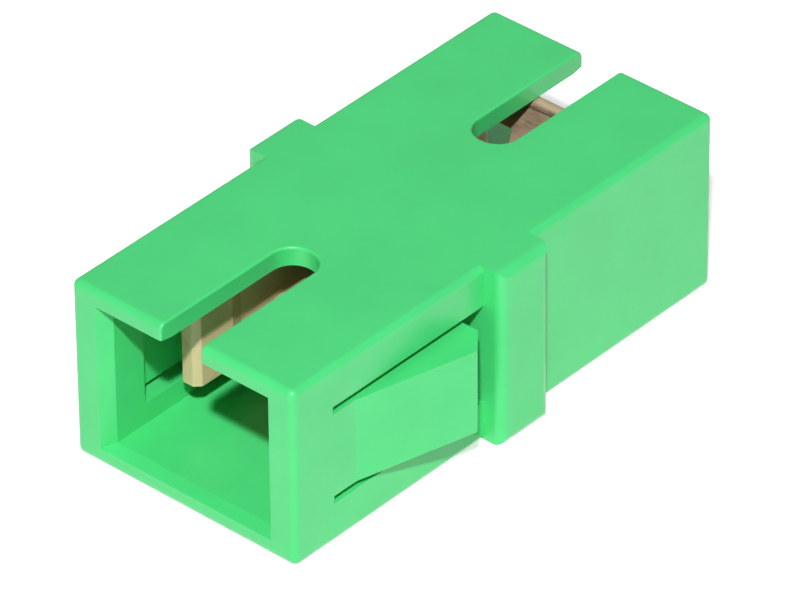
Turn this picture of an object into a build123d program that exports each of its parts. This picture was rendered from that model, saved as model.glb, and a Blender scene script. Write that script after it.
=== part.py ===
"""Simplex fibre adapter: a snap-in coupler that joins two push-pull plugs end to end.

The part stands on its underside. X runs through both ports, with the front mouth at -X.
Y runs across the body and Z is up. The origin is on the underside, below the centre.
All sizes are in millimetres.
"""
import os
from math import cos, radians, sin

from build123d import *

os.makedirs("parts", exist_ok=True)

# Body and collar
body_length = 27.6  # mouth to mouth
body_width = 12.8
body_height = 9.2
body_edge = 0.35  # round on the body's long edges and mouth rims
collar_thickness = 3.2  # both halves together
collar_width = 14.9
collar_edge = 0.5

# Ports
port_width = 9.2
port_floor = 0.95  # wall under the port
top_wall = 0.95  # wall over the port
lead_in_depth = 0.7  # flare at the mouth
lead_in_side = 0.4
lead_in_top = 0.12

# Key slots in the top wall
slot_width = 2.3
slot_length = 8.2
slot_corner = 1.1
slot_edge = 0.12  # round on the slot's top edge

# Hollow in each side wall, for a hook to spread into
relief_start = 2.95  # from the mouth
relief_depth = 0.6

# Latch arms in the front half
arm_start = 2.5  # root of the arm, from the mouth
arm_height = 4.3
slit_width = 0.4
panel_gap = 1.1  # from the arm's free end to the collar
arm_ramp_start = 3.9  # where the outer face starts to rise, from the mouth
arm_peak = 9.95  # where it is highest, from the mouth
arm_rise = 1.6  # peak's height above the side wall
arm_end_rise = 0.63  # free end's height above the side wall
arm_edge = 0.12

# Seat of the hook inserts, in the collar
plate_width = 10.4
plate_thickness = 1.0
seat_clearance = 0.05

# Hook inserts
hook_height = 3.8
hook_tip_depth = 4.1  # from the mouth to the hook's tip
hook_arm_thickness = 0.6
hook_head_span = 5.9  # between the two heads
hook_head_rise = 0.35  # head above the arm's inner face
hook_nose = 0.3  # bevel at the front of the head
hook_head_flat = 2.0
hook_catch_length = 0.9  # slope at the back of the head
hook_edge = 0.1
holder_outer = 4.7  # sleeve holder
holder_nose_bevel = 0.3
holder_root_fillet = 0.4
lip_bore = 2.9  # in the holder's end, which keeps the sleeve in
lip_thickness = 0.3
lip_bevel = 0.12

# Split sleeve
sleeve_outer = 3.2
sleeve_bore = 2.5
sleeve_length = 11.4
sleeve_slit = 0.5
sleeve_clearance = 0.05  # round the sleeve in its holder
sleeve_end_play = 0.1

# Weld pegs between the halves
peg_diameter = 0.8
peg_length = 0.7
peg_clearance = 0.05
peg_from_edge = 1.15  # from the collar's side
peg_drop = 2.2  # below the top of the body

# Shutter in the rear port
hinge_depth = 3.0  # from the mouth
hinge_drop = 0.36  # below the roof of the port
pin_diameter = 0.3
pin_anchor = 0.6  # length held in each side wall
pin_clearance = 0.02  # round the pin in the walls
knuckle_outer = 0.6
knuckle_clearance = 0.03
knuckle_side_gap = 0.3  # from the knuckle's end to the side wall
leaf_thickness = 0.15
leaf_droop = 72  # degrees below level, shut
leaf_length = 4.7  # from the hinge axis
leaf_side_gap = 0.4  # from the leaf's head to the side wall
leaf_head_length = 1.65
leaf_tongue_width = 4.4
leaf_corner = 0.6

# Worked out from the sizes above
half_length = body_length / 2
port_top = body_height - top_wall
port_height = port_top - port_floor
axis_height = port_floor + port_height / 2
arm_bottom = axis_height - arm_height / 2
window_height = arm_height + 2 * slit_width
arm_end = half_length - collar_thickness / 2 - panel_gap  # from the mouth
arm_inner = port_width / 2 + relief_depth
peg_height = body_height - peg_drop
hinge_height = port_top - hinge_drop
hinge_x = half_length - hinge_depth
knuckle_width = port_width - 2 * knuckle_side_gap
leaf_head_width = port_width - 2 * leaf_side_gap
holder_pocket = sleeve_length / 2 + sleeve_end_play
holder_length = holder_pocket + lip_thickness
hook_inner_span = hook_head_span + 2 * hook_head_rise


def mouth_plane(depth):
    """Plane across the front port, at a depth from the front mouth."""
    return Plane.YZ.offset(depth - half_length)


# One half of the housing, without arms, as the front half stands
with BuildPart() as plain_half:
    with BuildSketch(mouth_plane(0)):
        with Locations((0, body_height / 2)):
            Rectangle(body_width, body_height)
    extrude(amount=half_length)
    fillet(plain_half.edges().filter_by(Axis.X), body_edge)
    fillet(plain_half.faces().sort_by(Axis.X)[0].edges(), body_edge)

    with BuildSketch(mouth_plane(half_length)):
        with Locations((0, body_height / 2)):
            Rectangle(collar_width, body_height)
    extrude(amount=-collar_thickness / 2)
    collar_sides = plain_half.faces().filter_by(Axis.Y).group_by(Axis.Y)
    fillet(
        [
            edge
            for group in (collar_sides[0], collar_sides[-1])
            for edge in group.edges().filter_by(Axis.X) + group.edges().filter_by(Axis.Z).group_by(Axis.X)[0]
        ],
        collar_edge,
    )

    # Port, with its flared mouth
    with BuildSketch(mouth_plane(0)):
        with Locations((0, axis_height)):
            Rectangle(port_width, port_height)
    extrude(amount=half_length, mode=Mode.SUBTRACT)
    with BuildSketch(mouth_plane(0)):
        with Locations((0, axis_height)):
            Rectangle(port_width + 2 * lead_in_side, port_height + 2 * lead_in_top)
    with BuildSketch(mouth_plane(lead_in_depth)):
        with Locations((0, axis_height)):
            Rectangle(port_width, port_height)
    loft(mode=Mode.SUBTRACT)

    # Key slot
    with BuildSketch(Plane.XY.offset(body_height)):
        with Locations((slot_length / 2 - slot_corner / 2 - half_length, 0)):
            RectangleRounded(slot_length + slot_corner, slot_width, slot_corner)
    extrude(amount=-top_wall - port_height / 2, mode=Mode.SUBTRACT)
    slot_rim = plain_half.faces().sort_by(Axis.Z)[-1].edges().filter_by(
        lambda edge: abs(edge.center().Y) < slot_width / 2 + slot_edge
        and edge.bounding_box().max.X < slot_length + slot_edge - half_length
        and edge.bounding_box().size.X > slot_edge
    )
    fillet(slot_rim, slot_edge)

    # Reliefs behind the hooks
    with BuildSketch(mouth_plane(relief_start)):
        with Locations((0, axis_height)):
            Rectangle(port_width + 2 * relief_depth, window_height)
    extrude(amount=arm_end + panel_gap - relief_start, mode=Mode.SUBTRACT)

    # Seat for the hook insert's plate
    with BuildSketch(mouth_plane(half_length)):
        with Locations((0, axis_height)):
            Rectangle(plate_width + 2 * seat_clearance, port_height)
    extrude(amount=-plate_thickness, mode=Mode.SUBTRACT)

    # Weld peg on one side and its socket on the other
    with BuildSketch(mouth_plane(half_length)):
        with Locations((collar_width / 2 - peg_from_edge, peg_height)):
            Circle(peg_diameter / 2)
    extrude(amount=peg_length)
    with BuildSketch(mouth_plane(half_length)):
        with Locations((peg_from_edge - collar_width / 2, peg_height)):
            Circle(peg_diameter / 2 + peg_clearance)
    extrude(amount=-peg_length - peg_clearance, mode=Mode.SUBTRACT)

# Front half: the same, with a sprung latch arm cut out of each side wall
with BuildPart() as front_housing:
    add(plain_half.part)
    for side in (-1, 1):
        # Window all round the arm, through the wall
        with BuildSketch(Plane.XZ.offset(-side * port_width / 2)):
            with Locations(((arm_start + arm_end + panel_gap) / 2 - half_length, axis_height)):
                Rectangle(arm_end + panel_gap - arm_start, window_height)
        extrude(amount=-side * (body_width - port_width) / 2, mode=Mode.SUBTRACT)
        # The arm itself, rising to its free end
        with BuildSketch(Plane.XY.offset(arm_bottom)):
            with BuildLine():
                Polyline(
                    (arm_start - half_length - slit_width, side * arm_inner),
                    (arm_end - half_length, side * arm_inner),
                    (arm_end - half_length, side * (body_width / 2 + arm_end_rise)),
                    (arm_peak - half_length, side * (body_width / 2 + arm_rise)),
                    (arm_ramp_start - half_length, side * body_width / 2),
                    (arm_start - half_length - slit_width, side * body_width / 2),
                    close=True,
                )
            make_face()
        extrude(amount=arm_height)
    fillet(
        front_housing.edges().filter_by(Axis.Z).filter_by(
            lambda edge: abs(edge.center().Y) > body_width / 2 + arm_end_rise / 2
            and edge.center().X < arm_end - half_length + slit_width / 2
        ),
        arm_edge,
    )
front_housing.part.label = "front_housing"
export_step(front_housing.part, "parts/front_housing.step")

# Rear half: turned end for end, with holes for the shutter's pin
with BuildPart() as rear_housing:
    add(plain_half.part.rotate(Axis.Z, 180))
    with BuildSketch(Plane.XZ):
        with Locations((hinge_x, hinge_height)):
            Circle(pin_diameter / 2 + pin_clearance)
    extrude(amount=port_width / 2 + pin_anchor + pin_clearance, both=True, mode=Mode.SUBTRACT)
rear_housing.part.label = "rear_housing"
export_step(rear_housing.part, "parts/rear_housing.step")

# Hook insert of the front port: plate, sleeve holder and two hooks in one moulding
with BuildPart() as front_hook_insert:
    with BuildSketch(Plane.YZ):
        with Locations((0, axis_height)):
            Rectangle(plate_width, port_height - 2 * seat_clearance)
    extrude(amount=-plate_thickness)
    with BuildSketch(Plane.YZ):
        with Locations((0, axis_height)):
            Circle(holder_outer / 2)
    extrude(amount=-holder_length)
    holder_rims = front_hook_insert.edges().filter_by(GeomType.CIRCLE).sort_by(Axis.X)
    fillet(holder_rims[-1], holder_root_fillet)
    chamfer(holder_rims[0], holder_nose_bevel)
    with BuildSketch(Plane.YZ):
        with Locations((0, axis_height)):
            Circle(sleeve_outer / 2 + sleeve_clearance)
    extrude(amount=-holder_pocket, mode=Mode.SUBTRACT)
    with BuildSketch(Plane.YZ.offset(-holder_pocket)):
        with Locations((0, axis_height)):
            Circle(lip_bore / 2)
    extrude(amount=-lip_thickness, mode=Mode.SUBTRACT)
    lip_mouth = front_hook_insert.faces().sort_by(Axis.X)[0].edges().filter_by(GeomType.CIRCLE)
    chamfer(lip_mouth.sort_by(SortBy.RADIUS)[0], lip_bevel)
    for side in (-1, 1):
        tip = hook_tip_depth - half_length
        head_start = tip + hook_nose
        head_end = head_start + hook_head_flat
        head = side * hook_head_span / 2
        inner = side * hook_inner_span / 2
        outer = side * (hook_inner_span / 2 + hook_arm_thickness)
        with BuildSketch(Plane.XY.offset(axis_height - hook_height / 2)):
            with BuildLine():
                Polyline(
                    (-plate_thickness / 2, outer),
                    (tip, outer),
                    (tip, head + side * hook_nose),
                    (head_start, head),
                    (head_end, head),
                    (head_end + hook_catch_length, inner),
                    (-plate_thickness / 2, inner),
                    close=True,
                )
            make_face()
        extrude(amount=hook_height)
    fillet(
        front_hook_insert.edges().filter_by(Axis.Z).filter_by(
            lambda edge: edge.center().X < hook_tip_depth + hook_nose + hook_edge - half_length
        ),
        hook_edge,
    )
front_hook_insert.part.label = "front_hook_insert"
export_step(front_hook_insert.part, "parts/front_hook_insert.step")

# Hook insert of the rear port
with BuildPart() as rear_hook_insert:
    add(front_hook_insert.part.rotate(Axis.Z, 180))
rear_hook_insert.part.label = "rear_hook_insert"
export_step(rear_hook_insert.part, "parts/rear_hook_insert.step")

# Split sleeve, which lines up the two ferrules
with BuildPart() as split_sleeve:
    with BuildSketch(Plane.YZ.offset(-sleeve_length / 2)):
        with Locations((0, axis_height)):
            Circle(sleeve_outer / 2)
            Circle(sleeve_bore / 2, mode=Mode.SUBTRACT)
        with Locations((0, axis_height + sleeve_outer / 2)):
            Rectangle(sleeve_slit, sleeve_outer, mode=Mode.SUBTRACT)
    extrude(amount=sleeve_length)
split_sleeve.part.label = "split_sleeve"
export_step(split_sleeve.part, "parts/split_sleeve.step")

# Hinge pin of the shutter, across the rear port under the top wall
with BuildPart() as shutter_pin:
    with BuildSketch(Plane.XZ):
        with Locations((hinge_x, hinge_height)):
            Circle(pin_diameter / 2)
    extrude(amount=port_width / 2 + pin_anchor, both=True)
shutter_pin.part.label = "shutter_pin"
export_step(shutter_pin.part, "parts/shutter_pin.step")

# Shutter of the rear port: a sheet leaf rolled round its pin, which droops into the port
leaf_plane = Plane(
    origin=(hinge_x, 0, hinge_height),
    x_dir=(-cos(radians(leaf_droop)), 0, -sin(radians(leaf_droop))),
    z_dir=(-sin(radians(leaf_droop)), 0, cos(radians(leaf_droop))),
)
with BuildPart() as shutter:
    with BuildSketch(leaf_plane):
        with Locations(((leaf_head_length - leaf_corner) / 2, 0)):
            RectangleRounded(leaf_head_length + leaf_corner, leaf_head_width, leaf_corner)
        with Locations(((leaf_length - leaf_corner) / 2, 0)):
            RectangleRounded(leaf_length + leaf_corner, leaf_tongue_width, leaf_corner)
        with Locations((leaf_length / 2, 0)):
            Rectangle(leaf_length, leaf_head_width, mode=Mode.INTERSECT)
    extrude(amount=leaf_thickness / 2, both=True)
    with BuildSketch(Plane.XZ):
        with Locations((hinge_x, hinge_height)):
            Circle(knuckle_outer / 2)
    extrude(amount=knuckle_width / 2, both=True)
    with BuildSketch(Plane.XZ):
        with Locations((hinge_x, hinge_height)):
            Circle(pin_diameter / 2 + knuckle_clearance)
    extrude(amount=knuckle_width, both=True, mode=Mode.SUBTRACT)
shutter.part.label = "shutter"
export_step(shutter.part, "parts/shutter.step")
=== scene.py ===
"""Simplex fibre adapter: its plastic, ceramic and metal finishes, and a plain studio.

Lengths in the code are metres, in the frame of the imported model, unless a name says otherwise.
"""

from math import cos, radians, sin

import bpy
from mathutils import Matrix, Vector


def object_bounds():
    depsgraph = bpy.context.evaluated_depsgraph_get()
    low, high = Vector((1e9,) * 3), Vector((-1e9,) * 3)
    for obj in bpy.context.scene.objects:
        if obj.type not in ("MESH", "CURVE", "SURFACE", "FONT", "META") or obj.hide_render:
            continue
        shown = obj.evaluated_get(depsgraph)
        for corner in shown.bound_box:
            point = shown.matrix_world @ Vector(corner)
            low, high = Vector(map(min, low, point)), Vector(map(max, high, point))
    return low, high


bl_info = {
    "name": "Simplex fibre adapter",
    "version": (1, 0, 0),
    "blender": (4, 5, 0),
    "location": "3D View > Sidebar > Fibre adapter",
    "description": "Gives a fibre adapter its plastic, ceramic and bronze finishes, and lights it",
    "category": "Material",
}

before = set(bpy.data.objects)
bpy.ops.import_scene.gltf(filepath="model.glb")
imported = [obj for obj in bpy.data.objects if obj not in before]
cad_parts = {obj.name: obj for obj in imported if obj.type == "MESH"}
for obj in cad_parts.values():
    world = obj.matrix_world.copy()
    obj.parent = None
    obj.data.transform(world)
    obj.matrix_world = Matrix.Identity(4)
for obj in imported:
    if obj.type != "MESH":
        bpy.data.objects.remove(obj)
CAD_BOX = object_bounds()
MILLIMETRE = 0.001

# Noises: octaves and raggedness where they drive gloss, and the middle range that spread takes
GLOSS_DETAIL = 4
GLOSS_RAGGEDNESS = 0.6
PLAIN_RAGGEDNESS = 0.5
NOISE_START = 0.3
NOISE_END = 0.7

# Plastic: gloss as shares of its middle roughness, and the light that spreads under the surface
PLASTIC_GLOSS = (0.85, 1.2)
PLASTIC_IOR = 1.5
PLASTIC_GLOW_COLOUR = (0.4, 1.0, 0.5)
PLASTIC_GLOW_DEPTH = 0.4 * MILLIMETRE
CLOUD_DETAIL = 3
WAVE_DETAIL = 1
GRAIN_DETAIL = 2
GRAIN_RAGGEDNESS = 0.7

# Ceramic: rings round the sleeve, which lies along X
CERAMIC_COLOUR = (0.93, 0.92, 0.88)
CERAMIC_SHADE = (0.86, 0.85, 0.80)
CERAMIC_ROUGHNESS = (0.1, 0.22)
CERAMIC_IOR = 2.1
CERAMIC_GLOW = 0.1
CERAMIC_GLOW_DEPTH = 0.3 * MILLIMETRE
RING_WIDTH = 0.5 * MILLIMETRE
RING_SQUEEZE = (12, 1, 1)
RING_DEPTH = 0.0006 * MILLIMETRE

# Metal: gloss as shares of its middle roughness, and the patches that have dulled
METAL_GLOSS = (0.75, 1.3)
LINE_DETAIL = 3
PATCH_SIZE = 0.9 * MILLIMETRE
PATCH_START = 0.35
PATCH_END = 0.75

# Studio: each lamp by its direction, distance and size, and the pale surroundings
SENSOR_WIDTH = 36
CLIP_START = 0.01
CLIP_END = 20
KEY_LAMP = ((-0.52, -0.43, 0.74), 0.5, 0.02)
FILL_LAMP = ((-0.5, 0.8, 0.35), 0.5, 0.4)
WHITE = 1  # strength at which a background shows as white
SKY_REFLECTED = 0.4  # share of that white in reflections
FLOOR_HALF = 1.5
FLOOR_GAP = 0.02 * MILLIMETRE  # between the floor and the adapter
FLOOR_ROUGHNESS = 0.9
FLOOR_SEEN = 0.6  # light that the floor adds for the camera
FLOOR_REFLECTED = 0.78  # light that the floor adds in reflections


class AdapterPlastic(bpy.types.PropertyGroup):
    """Moulded plastic of one group of pieces."""

    colour: bpy.props.FloatVectorProperty(
        name="Colour",
        description="Colour of the plastic in full light",
        subtype="COLOR",
        size=3,
        min=0,
        max=1,
        default=(0.063, 0.635, 0.19),
    )
    shade: bpy.props.FloatProperty(
        name="Shade",
        description="How much darker the plastic is in its cloudier areas",
        subtype="FACTOR",
        min=0,
        max=1,
        default=0.07,
    )
    cloud_size: bpy.props.FloatProperty(
        name="Cloud size",
        description="Size of the cloudy areas in the colour",
        subtype="DISTANCE",
        default=0.0035,
    )
    grain_size: bpy.props.FloatProperty(
        name="Grain size",
        description="Size of the grain that the mould leaves on the surface",
        subtype="DISTANCE",
        default=0.00009,
    )
    grain_depth: bpy.props.FloatProperty(
        name="Grain depth",
        description="Depth of the mould's grain",
        subtype="DISTANCE",
        default=0.0000018,
        precision=7,
    )
    wave_size: bpy.props.FloatProperty(
        name="Wave size",
        description="Length of the slow waves that cooling leaves in a flat wall",
        subtype="DISTANCE",
        default=0.0022,
    )
    wave_depth: bpy.props.FloatProperty(
        name="Wave depth",
        description="Depth of the slow waves",
        subtype="DISTANCE",
        default=0.000003,
        precision=7,
    )
    roughness: bpy.props.FloatProperty(
        name="Roughness",
        description="Middle roughness of the surface",
        subtype="FACTOR",
        min=0,
        max=1,
        default=0.35,
    )
    glow: bpy.props.FloatProperty(
        name="Depth of light",
        description="Share of the light that spreads under the surface",
        subtype="FACTOR",
        min=0,
        max=1,
        default=0.12,
    )


class AdapterMetal(bpy.types.PropertyGroup):
    """Sheet or wire metal."""

    colour: bpy.props.FloatVectorProperty(
        name="Colour",
        description="Colour of the bright metal",
        subtype="COLOR",
        size=3,
        min=0,
        max=1,
        default=(0.66, 0.49, 0.35),
    )
    tarnish: bpy.props.FloatVectorProperty(
        name="Tarnish",
        description="Colour where the metal has dulled",
        subtype="COLOR",
        size=3,
        min=0,
        max=1,
        default=(0.55, 0.4, 0.28),
    )
    line_width: bpy.props.FloatProperty(
        name="Line width",
        description="Width of the lines that rolling or drawing leaves",
        subtype="DISTANCE",
        default=0.00004,
        precision=6,
    )
    line_stretch: bpy.props.FloatProperty(
        name="Line stretch",
        description="How many times longer than wide the lines are",
        default=30.0,
    )
    line_depth: bpy.props.FloatProperty(
        name="Line depth",
        description="Depth of the lines",
        subtype="DISTANCE",
        default=0.0000012,
        precision=7,
    )
    dulling: bpy.props.FloatProperty(
        name="Dulling",
        description="How far the film on the dulled areas hides the metal under it",
        subtype="FACTOR",
        min=0,
        max=1,
        default=0.6,
    )
    roughness: bpy.props.FloatProperty(
        name="Roughness",
        description="Middle roughness of the metal",
        subtype="FACTOR",
        min=0,
        max=1,
        default=0.65,
    )


class AdapterStudio(bpy.types.PropertyGroup):
    """Camera, lamps and floor."""

    azimuth: bpy.props.FloatProperty(
        name="Azimuth",
        description="Camera's turn from the front mouth towards the right side",
        subtype="ANGLE",
        default=radians(41.82),
    )
    elevation: bpy.props.FloatProperty(
        name="Elevation",
        description="Camera's height above the horizon",
        subtype="ANGLE",
        default=radians(35.74),
    )
    roll: bpy.props.FloatProperty(
        name="Roll",
        description="Camera's turn about its own view line",
        subtype="ANGLE",
        default=radians(-0.55),
    )
    distance: bpy.props.FloatProperty(
        name="Distance",
        description="From the camera to the middle of the adapter",
        subtype="DISTANCE",
        default=0.3573,
    )
    across: bpy.props.FloatProperty(
        name="Shift across",
        description="How far the camera stands to the right of the view line",
        subtype="DISTANCE",
        default=0.00012,
        precision=5,
    )
    up: bpy.props.FloatProperty(
        name="Shift up",
        description="How far the camera stands above the view line",
        subtype="DISTANCE",
        default=-0.00083,
        precision=5,
    )
    lens: bpy.props.FloatProperty(
        name="Lens",
        description="Focal length in millimetres, on a sensor 36 mm wide",
        default=368.2,
    )
    floor_colour: bpy.props.FloatVectorProperty(
        name="Floor",
        description="Colour of the floor",
        subtype="COLOR",
        size=3,
        min=0,
        max=1,
        default=(0.74, 0.74, 0.74),
    )
    sky: bpy.props.FloatProperty(
        name="Sky",
        description="Strength of the light from all round",
        default=0.2,
    )
    key_power: bpy.props.FloatProperty(
        name="Key lamp",
        description="Strength of the main lamp",
        subtype="POWER",
        default=2.97,
    )
    fill_power: bpy.props.FloatProperty(
        name="Fill lamp",
        description="Strength of the lamp on the left",
        subtype="POWER",
        default=0.05,
    )


class AdapterSettings(bpy.types.PropertyGroup):
    """Every setting of the adapter."""

    housing: bpy.props.PointerProperty(
        name="Housing", description="Green plastic of the two housing halves", type=AdapterPlastic
    )
    insert: bpy.props.PointerProperty(
        name="Hook inserts", description="Plastic of the two hook inserts", type=AdapterPlastic
    )
    bronze: bpy.props.PointerProperty(
        name="Shutter", description="Sheet bronze of the shutter", type=AdapterMetal
    )
    steel: bpy.props.PointerProperty(
        name="Hinge pin", description="Drawn wire of the hinge pin", type=AdapterMetal
    )
    studio: bpy.props.PointerProperty(
        name="Studio", description="Camera, lamps and floor", type=AdapterStudio
    )


def new_material(name):
    """An empty material with its output, and the shader that feeds it."""
    material = bpy.data.materials.new(name)
    material.use_nodes = True
    tree = material.node_tree
    tree.nodes.clear()
    output = tree.nodes.new("ShaderNodeOutputMaterial")
    shader = tree.nodes.new("ShaderNodeBsdfPrincipled")
    tree.links.new(shader.outputs["BSDF"], output.inputs["Surface"])
    return material, tree, shader


def place(tree, stretch=(1, 1, 1)):
    """Coordinates in the frame of the model, squeezed along each axis."""
    source = tree.nodes.new("ShaderNodeTexCoord")
    mapping = tree.nodes.new("ShaderNodeMapping")
    mapping.inputs["Scale"].default_value = stretch
    tree.links.new(source.outputs["Object"], mapping.inputs["Vector"])
    return mapping.outputs["Vector"]


def noise(tree, coordinates, size, detail, raggedness=PLAIN_RAGGEDNESS):
    """A noise with features of about the given size."""
    texture = tree.nodes.new("ShaderNodeTexNoise")
    texture.inputs["Scale"].default_value = 1 / size
    texture.inputs["Detail"].default_value = detail
    texture.inputs["Roughness"].default_value = raggedness
    tree.links.new(coordinates, texture.inputs["Vector"])
    return texture.outputs["Fac"]


def spread(tree, value, low, high, start=NOISE_START, end=NOISE_END):
    """Takes a noise's middle range to the range from low to high."""
    ranges = tree.nodes.new("ShaderNodeMapRange")
    ranges.inputs["From Min"].default_value = start
    ranges.inputs["From Max"].default_value = end
    ranges.inputs["To Min"].default_value = low
    ranges.inputs["To Max"].default_value = high
    tree.links.new(value, ranges.inputs["Value"])
    return ranges.outputs["Result"]


def gloss(tree, value, middle, shares):
    """A roughness that wanders between two shares of its middle value."""
    smooth, dull = shares
    return spread(tree, value, middle * smooth, middle * dull)


def blend_colours(tree, factor, first, second):
    """A colour between two, by a factor from a texture."""
    mix = tree.nodes.new("ShaderNodeMix")
    mix.data_type = "RGBA"
    tree.links.new(factor, mix.inputs["Factor"])
    mix.inputs["A"].default_value = (*first, 1)
    mix.inputs["B"].default_value = (*second, 1)
    return mix.outputs["Result"]


def relief(tree, height, depth, under=None):
    """A bump of a real depth, over another bump where one is given."""
    bump = tree.nodes.new("ShaderNodeBump")
    bump.inputs["Strength"].default_value = 1
    bump.inputs["Distance"].default_value = depth
    tree.links.new(height, bump.inputs["Height"])
    if under is not None:
        tree.links.new(under, bump.inputs["Normal"])
    return bump.outputs["Normal"]


def moulded_plastic(name, finish):
    """Moulded plastic: cloudy colour, a fine mould grain and slow waves from cooling."""
    material, tree, shader = new_material(name)
    coordinates = place(tree)
    cloud = spread(tree, noise(tree, coordinates, finish.cloud_size, CLOUD_DETAIL), 0, 1)
    dark = [channel * (1 - finish.shade) for channel in finish.colour]
    tree.links.new(blend_colours(tree, cloud, finish.colour, dark), shader.inputs["Base Color"])
    smear = noise(tree, coordinates, finish.wave_size / 2, GLOSS_DETAIL, GLOSS_RAGGEDNESS)
    tree.links.new(gloss(tree, smear, finish.roughness, PLASTIC_GLOSS), shader.inputs["Roughness"])
    swell = noise(tree, coordinates, finish.wave_size, WAVE_DETAIL)
    waves = relief(tree, swell, finish.wave_depth)
    grain = noise(tree, coordinates, finish.grain_size, GRAIN_DETAIL, GRAIN_RAGGEDNESS)
    tree.links.new(relief(tree, grain, finish.grain_depth, waves), shader.inputs["Normal"])
    shader.inputs["IOR"].default_value = PLASTIC_IOR
    shader.inputs["Subsurface Weight"].default_value = finish.glow
    shader.inputs["Subsurface Radius"].default_value = PLASTIC_GLOW_COLOUR
    shader.inputs["Subsurface Scale"].default_value = PLASTIC_GLOW_DEPTH
    return material


def ground_ceramic(name):
    """Ground and polished ceramic, with faint rings from the grinding wheel."""
    material, tree, shader = new_material(name)
    coordinates = place(tree, RING_SQUEEZE)
    rings = noise(tree, coordinates, RING_WIDTH, GLOSS_DETAIL, GLOSS_RAGGEDNESS)
    colour = blend_colours(tree, spread(tree, rings, 0, 1), CERAMIC_COLOUR, CERAMIC_SHADE)
    tree.links.new(colour, shader.inputs["Base Color"])
    tree.links.new(spread(tree, rings, *CERAMIC_ROUGHNESS), shader.inputs["Roughness"])
    tree.links.new(relief(tree, rings, RING_DEPTH), shader.inputs["Normal"])
    shader.inputs["IOR"].default_value = CERAMIC_IOR
    shader.inputs["Subsurface Weight"].default_value = CERAMIC_GLOW
    shader.inputs["Subsurface Scale"].default_value = CERAMIC_GLOW_DEPTH
    return material


def worked_metal(name, finish, along):
    """Rolled or drawn metal: fine lines along one axis, and patches that have dulled."""
    material, tree, shader = new_material(name)
    stretch = [1.0, 1.0, 1.0]
    stretch["XYZ".index(along)] = 1 / finish.line_stretch
    lines = noise(tree, place(tree, stretch), finish.line_width, LINE_DETAIL, GLOSS_RAGGEDNESS)
    patches = noise(tree, place(tree), PATCH_SIZE, GLOSS_DETAIL, GLOSS_RAGGEDNESS)
    dulled = spread(tree, patches, 0, 1, PATCH_START, PATCH_END)
    colour = blend_colours(tree, dulled, finish.colour, finish.tarnish)
    tree.links.new(colour, shader.inputs["Base Color"])
    tree.links.new(gloss(tree, lines, finish.roughness, METAL_GLOSS), shader.inputs["Roughness"])
    tree.links.new(relief(tree, lines, finish.line_depth), shader.inputs["Normal"])
    bare = spread(tree, patches, 1, 1 - finish.dulling, PATCH_START, PATCH_END)
    tree.links.new(bare, shader.inputs["Metallic"])
    return material


def dress(nodes, material):
    """Gives CAD nodes their finish."""
    for name in nodes:
        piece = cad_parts[name]
        piece.data.materials.clear()
        piece.data.materials.append(material)


class ADAPTER_OT_housing(bpy.types.Operator):
    """Finish the two housing halves in green moulded plastic"""

    bl_idname = "adapter.housing"
    bl_label = "Housing halves"

    def execute(self, context):
        material = moulded_plastic("green_plastic", context.scene.adapter.housing)
        dress(("front_housing", "rear_housing"), material)
        return {"FINISHED"}


class ADAPTER_OT_inserts(bpy.types.Operator):
    """Finish the hook inserts in amber plastic"""

    bl_idname = "adapter.inserts"
    bl_label = "Hook inserts"

    def execute(self, context):
        material = moulded_plastic("amber_plastic", context.scene.adapter.insert)
        dress(("front_hook_insert", "rear_hook_insert"), material)
        return {"FINISHED"}


class ADAPTER_OT_sleeve(bpy.types.Operator):
    """Finish the split sleeve in ground ceramic"""

    bl_idname = "adapter.sleeve"
    bl_label = "Split sleeve"

    def execute(self, context):
        dress(("split_sleeve",), ground_ceramic("ceramic"))
        return {"FINISHED"}


class ADAPTER_OT_shutter(bpy.types.Operator):
    """Finish the shutter in rolled bronze and its hinge pin in drawn steel"""

    bl_idname = "adapter.shutter"
    bl_label = "Shutter and hinge pin"

    def execute(self, context):
        settings = context.scene.adapter
        dress(("shutter",), worked_metal("spring_bronze", settings.bronze, "Y"))
        dress(("shutter_pin",), worked_metal("pin_steel", settings.steel, "Y"))
        return {"FINISHED"}


def middle():
    """Middle of the adapter's box."""
    low, high = CAD_BOX
    return (low + high) / 2


def add_camera(studio):
    """Camera at the photograph's angle."""
    back = Vector(
        (
            -cos(studio.elevation) * cos(studio.azimuth),
            -cos(studio.elevation) * sin(studio.azimuth),
            sin(studio.elevation),
        )
    )
    level = (-back).cross(Vector((0, 0, 1))).normalized()
    raised = level.cross(-back)
    right = level * cos(studio.roll) + raised * sin(studio.roll)
    upward = raised * cos(studio.roll) - level * sin(studio.roll)
    data = bpy.data.cameras.new("camera")
    data.lens = studio.lens
    data.sensor_width = SENSOR_WIDTH
    data.clip_start = CLIP_START
    data.clip_end = CLIP_END
    camera = bpy.data.objects.new("camera", data)
    bpy.context.scene.collection.objects.link(camera)
    turn = Matrix((right, upward, back)).transposed().to_4x4()
    stand = middle() + back * studio.distance + right * studio.across + upward * studio.up
    camera.matrix_world = Matrix.Translation(stand) @ turn
    bpy.context.scene.camera = camera


def add_lamp(name, direction, distance, size, power):
    """A square soft lamp that points at the middle of the adapter."""
    data = bpy.data.lights.new(name, "AREA")
    data.shape = "SQUARE"
    data.size = size
    data.energy = power
    lamp = bpy.data.objects.new(name, data)
    bpy.context.scene.collection.objects.link(lamp)
    aim = Vector(direction).normalized()
    turn = aim.to_track_quat("Z", "Y").to_matrix().to_4x4()
    lamp.matrix_world = Matrix.Translation(middle() + aim * distance) @ turn


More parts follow.
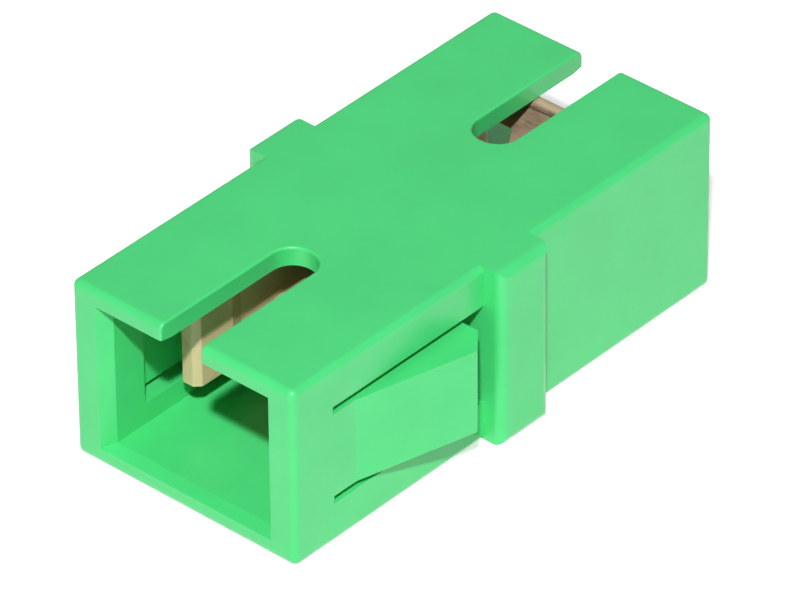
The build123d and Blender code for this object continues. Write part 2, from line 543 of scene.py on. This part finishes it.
def combine(tree, operation, first, second):
    """One operation on two values, each of them a socket or a number."""
    node = tree.nodes.new("ShaderNodeMath")
    node.operation = operation
    for socket, value in zip(node.inputs, (first, second)):
        if isinstance(value, bpy.types.NodeSocket):
            tree.links.new(value, socket)
        else:
            socket.default_value = value
    return node.outputs["Value"]


def ray_share(tree, seen, reflected):
    """One share for what is seen, also through a clear material, and one for reflections."""
    path = tree.nodes.new("ShaderNodeLightPath")
    straight = combine(
        tree, "MAXIMUM", path.outputs["Is Camera Ray"], path.outputs["Is Transmission Ray"]
    )
    mirrored = combine(tree, "MULTIPLY", path.outputs["Is Glossy Ray"], reflected)
    return combine(tree, "MAXIMUM", combine(tree, "MULTIPLY", straight, seen), mirrored)


def add_sky(strength):
    """Even light from all round, on a background that the camera sees as white."""
    world = bpy.data.worlds.new("studio")
    bpy.context.scene.world = world
    world.use_nodes = True
    tree = world.node_tree
    tree.nodes.clear()
    output = tree.nodes.new("ShaderNodeOutputWorld")
    lit = tree.nodes.new("ShaderNodeBackground")
    lit.inputs["Strength"].default_value = strength
    seen = tree.nodes.new("ShaderNodeBackground")
    seen.inputs["Strength"].default_value = WHITE
    mix = tree.nodes.new("ShaderNodeMixShader")
    tree.links.new(ray_share(tree, 1, SKY_REFLECTED), mix.inputs["Fac"])
    tree.links.new(lit.outputs["Background"], mix.inputs[1])
    tree.links.new(seen.outputs["Background"], mix.inputs[2])
    tree.links.new(mix.outputs["Shader"], output.inputs["Surface"])


def add_floor(colour):
    """A wide pale floor just under the adapter, which keeps its shadow."""
    mesh = bpy.data.meshes.new("floor")
    signs = ((-1, -1), (1, -1), (1, 1), (-1, 1))
    corners = [(x * FLOOR_HALF, y * FLOOR_HALF, 0) for x, y in signs]
    mesh.from_pydata(corners, [], [(0, 1, 2, 3)])
    floor = bpy.data.objects.new("floor", mesh)
    floor.location.z = CAD_BOX[0].z - FLOOR_GAP
    bpy.context.scene.collection.objects.link(floor)
    material, tree, shader = new_material("floor")
    shader.inputs["Base Color"].default_value = (*colour, 1)
    shader.inputs["Roughness"].default_value = FLOOR_ROUGHNESS
    shader.inputs["Emission Color"].default_value = (1, 1, 1, 1)
    tree.links.new(ray_share(tree, FLOOR_SEEN, FLOOR_REFLECTED), shader.inputs["Emission Strength"])
    mesh.materials.append(material)


class ADAPTER_OT_studio(bpy.types.Operator):
    """Set up the floor, the light and the camera"""

    bl_idname = "adapter.studio"
    bl_label = "Studio"

    def execute(self, context):
        studio = context.scene.adapter.studio
        context.scene.view_settings.view_transform = "Standard"
        add_camera(studio)
        add_sky(studio.sky)
        add_lamp("key_lamp", *KEY_LAMP, studio.key_power)
        add_lamp("fill_lamp", *FILL_LAMP, studio.fill_power)
        add_floor(studio.floor_colour)
        return {"FINISHED"}


class ADAPTER_PT_panel(bpy.types.Panel):
    """Lists the adapter's operators and settings"""

    bl_idname = "ADAPTER_PT_panel"
    bl_label = "Fibre adapter"
    bl_space_type = "VIEW_3D"
    bl_region_type = "UI"
    bl_category = "Fibre adapter"

    def draw(self, context):
        settings = context.scene.adapter
        for operator in OPERATORS:
            self.layout.operator(operator.bl_idname)
        for name in ("housing", "insert", "bronze", "steel", "studio"):
            group = getattr(settings, name)
            box = self.layout.box()
            box.label(text=settings.bl_rna.properties[name].name)
            for setting in group.__annotations__:
                box.prop(group, setting)


OPERATORS = (
    ADAPTER_OT_housing,
    ADAPTER_OT_inserts,
    ADAPTER_OT_sleeve,
    ADAPTER_OT_shutter,
    ADAPTER_OT_studio,
)
CLASSES = (
    AdapterPlastic,
    AdapterMetal,
    AdapterStudio,
    AdapterSettings,
    *OPERATORS,
    ADAPTER_PT_panel,
)


def register():
    """Registers the classes and gives the scene its settings."""
    for item in CLASSES:
        bpy.utils.register_class(item)
    bpy.types.Scene.adapter = bpy.props.PointerProperty(
        name="Adapter", description="Settings of the fibre adapter", type=AdapterSettings
    )


def unregister():
    """Removes the settings and the classes."""
    del bpy.types.Scene.adapter
    for item in reversed(CLASSES):
        bpy.utils.unregister_class(item)


def set_own_finishes(settings):
    """Settings in which a piece differs from the defaults of its group."""
    settings.insert.colour = (0.64, 0.5, 0.29)
    settings.insert.roughness = 0.3
    settings.steel.colour = (0.62, 0.62, 0.63)
    settings.steel.tarnish = (0.45, 0.45, 0.46)
    settings.steel.dulling = 0.1
    settings.steel.roughness = 0.25


def main():
    """Runs every step in order."""
    register()
    set_own_finishes(bpy.context.scene.adapter)
    bpy.ops.adapter.housing()
    bpy.ops.adapter.inserts()
    bpy.ops.adapter.sleeve()
    bpy.ops.adapter.shutter()
    bpy.ops.adapter.studio()


if __name__ == "__main__":
    main()
